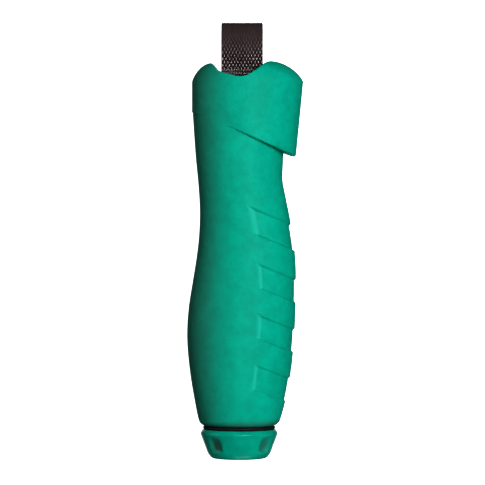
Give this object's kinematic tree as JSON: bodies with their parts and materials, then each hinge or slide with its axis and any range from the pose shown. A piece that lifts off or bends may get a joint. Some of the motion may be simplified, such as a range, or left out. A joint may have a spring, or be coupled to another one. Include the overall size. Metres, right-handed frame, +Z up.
{
  "type": "pocket whetstone",
  "caption": "Tapered sharpening stone rod stowed in an oval finger-contoured green handle, with a tapered collet nut at one end and a webbing loop in a saddle at the other.",
  "frame": {"origin": "centre of the bounding box, on the ground that the tool lies on", "axes": "+Y along the tool's axis from the nut towards the hanging loop; +X towards the finger side of the grip; +Z up, through the thickness"},
  "size_m": [0.037, 0.139, 0.03],
  "materials": {
    "grip_green": "satin soft-touch elastomer",
    "nut_green": "moulded, semi-gloss",
    "core_black": "moulded, matt",
    "rubber_black": "matt rubber",
    "brass": "turned",
    "steel": "turned and hardened",
    "holder_steel": "turned, satin",
    "webbing": "woven narrow webbing, dark brown",
    "stone": "fine-grained, dressed"
  },
  "bodies": {
    "handle": {"grip_sleeve": "grip_green", "butt_cap": "grip_green", "core_tube": "core_black", "thread_ferrule": "brass", "ferrule_pin_left": "steel", "ferrule_pin_right": "steel", "seal_ring": "rubber_black", "tip_bumper": "rubber_black", "anchor_plug": "core_black", "strap_pin": "steel", "webbing_tail": "webbing"},
    "loop": {"webbing_loop": "webbing"},
    "collet": {"collet": "steel"},
    "nut": {"collet_nut": "nut_green", "nut_insert": "brass", "retaining_ring": "steel"},
    "rod": {"rod_holder": "holder_steel", "whetstone_rod": "stone", "holder_end_plug": "core_black", "holder_o_ring": "rubber_black"}
  },
  "joints": [
    {"name": "collet_travel", "type": "slide", "parent": "handle", "child": "collet", "axis": [0, -1, 0], "range_m": [0, 0.003]},
    {"name": "nut_turn", "type": "hinge", "parent": "collet", "child": "nut", "pos_m": [-0.00193, -0.065, 0.015], "axis": [0, -1, 0], "range_deg": [0, 720]},
    {"name": "rod_slide", "type": "slide", "parent": "handle", "child": "rod", "axis": [0, -1, 0], "range_m": [0, 0.094]},
    {"name": "loop_bend", "type": "hinge", "parent": "handle", "child": "loop", "pos_m": [-0.001, 0.0539, 0.015], "axis": [1, 0, 0], "range_deg": [-35, 35], "stiffness_Nm_per_rad": 0.002}
  ],
  "couplings": [
    {"joint": "nut_turn", "follows": "collet_travel", "rad_per_m": 4188.8}
  ]
}
